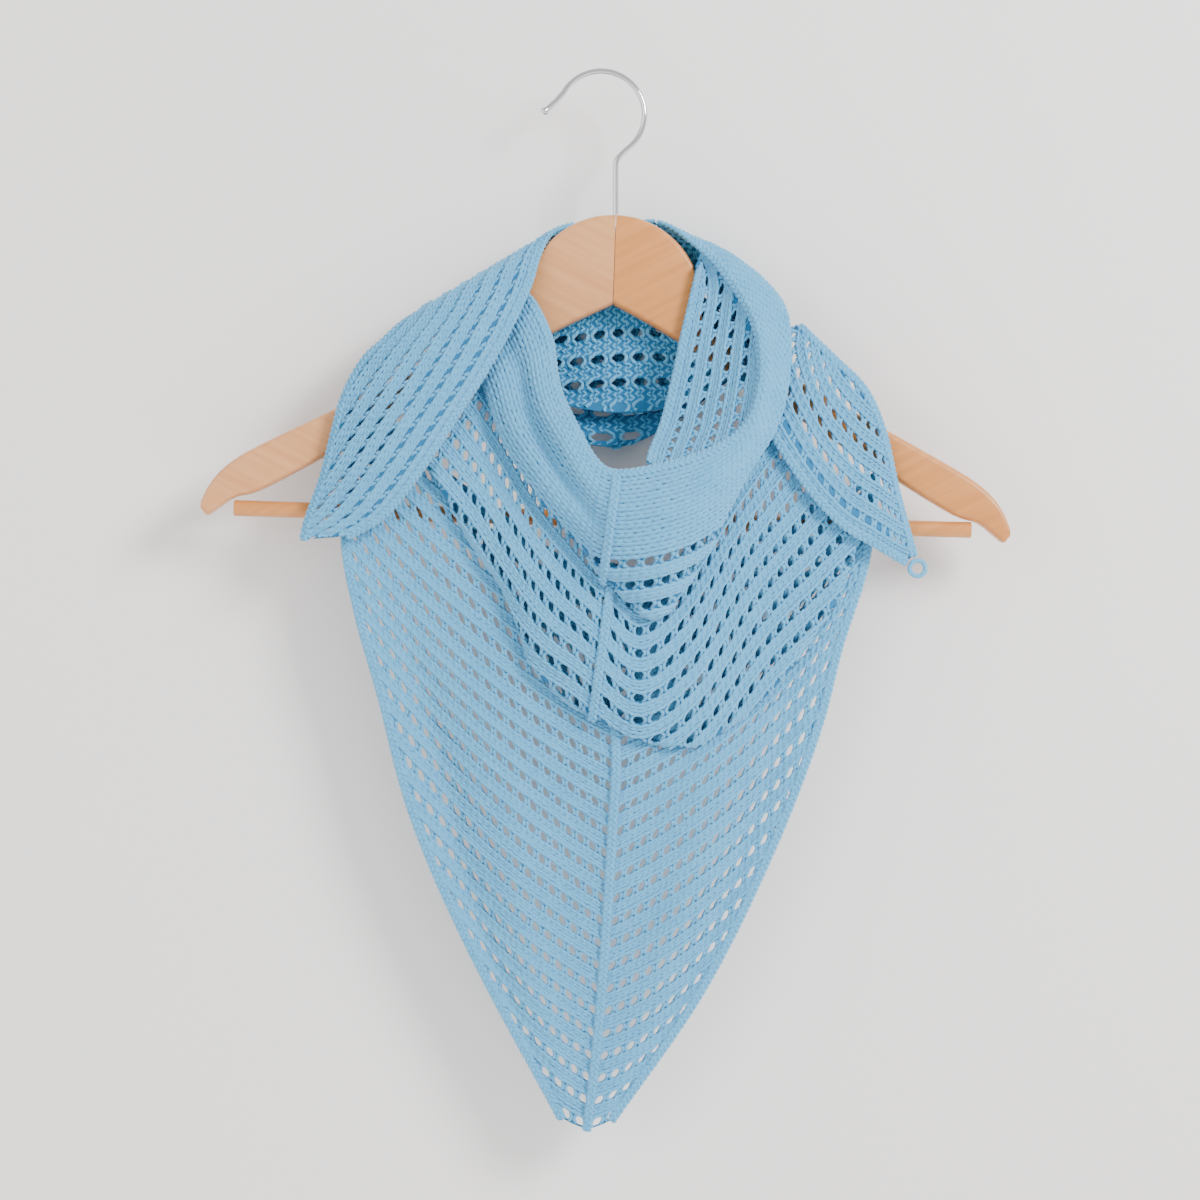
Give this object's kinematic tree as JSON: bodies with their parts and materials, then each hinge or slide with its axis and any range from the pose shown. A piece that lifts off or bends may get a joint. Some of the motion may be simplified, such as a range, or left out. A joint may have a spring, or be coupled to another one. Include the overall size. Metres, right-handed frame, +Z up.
{
  "type": "knitted triangular shawl on a wooden hanger",
  "caption": "Openwork knitted cotton triangular shawl, folded round the neck like a bandana, hung on a contoured wooden hanger with a metal hook.",
  "frame": {"origin": "the underside of the hook's crook, where the hanger is held", "axes": "+Z up, +X to the viewer's right, the cloth faces -Y and the wall it hangs on is at +Y"},
  "size_m": [0.4445, 0.0782, 0.5853],
  "materials": {
    "cotton_yarn": "matt knitted cotton",
    "beech": "clear satin varnish",
    "hook_chrome": "polished plating"
  },
  "bodies": {
    "root": {"shawl_panel_left": "cotton_yarn", "shawl_panel_right": "cotton_yarn", "shawl_swag": "cotton_yarn", "shawl_collar": "cotton_yarn", "shawl_rim_fold": "cotton_yarn", "shawl_wrap_inner": "cotton_yarn", "shawl_wrap_outer": "cotton_yarn", "shawl_wing_left": "cotton_yarn", "shawl_wing_right": "cotton_yarn", "shawl_tip_loop": "cotton_yarn", "hanger_arm_left": "beech", "hanger_arm_right": "beech", "hanger_bar": "beech", "hanger_hook": "hook_chrome"}
  },
  "joints": []
}
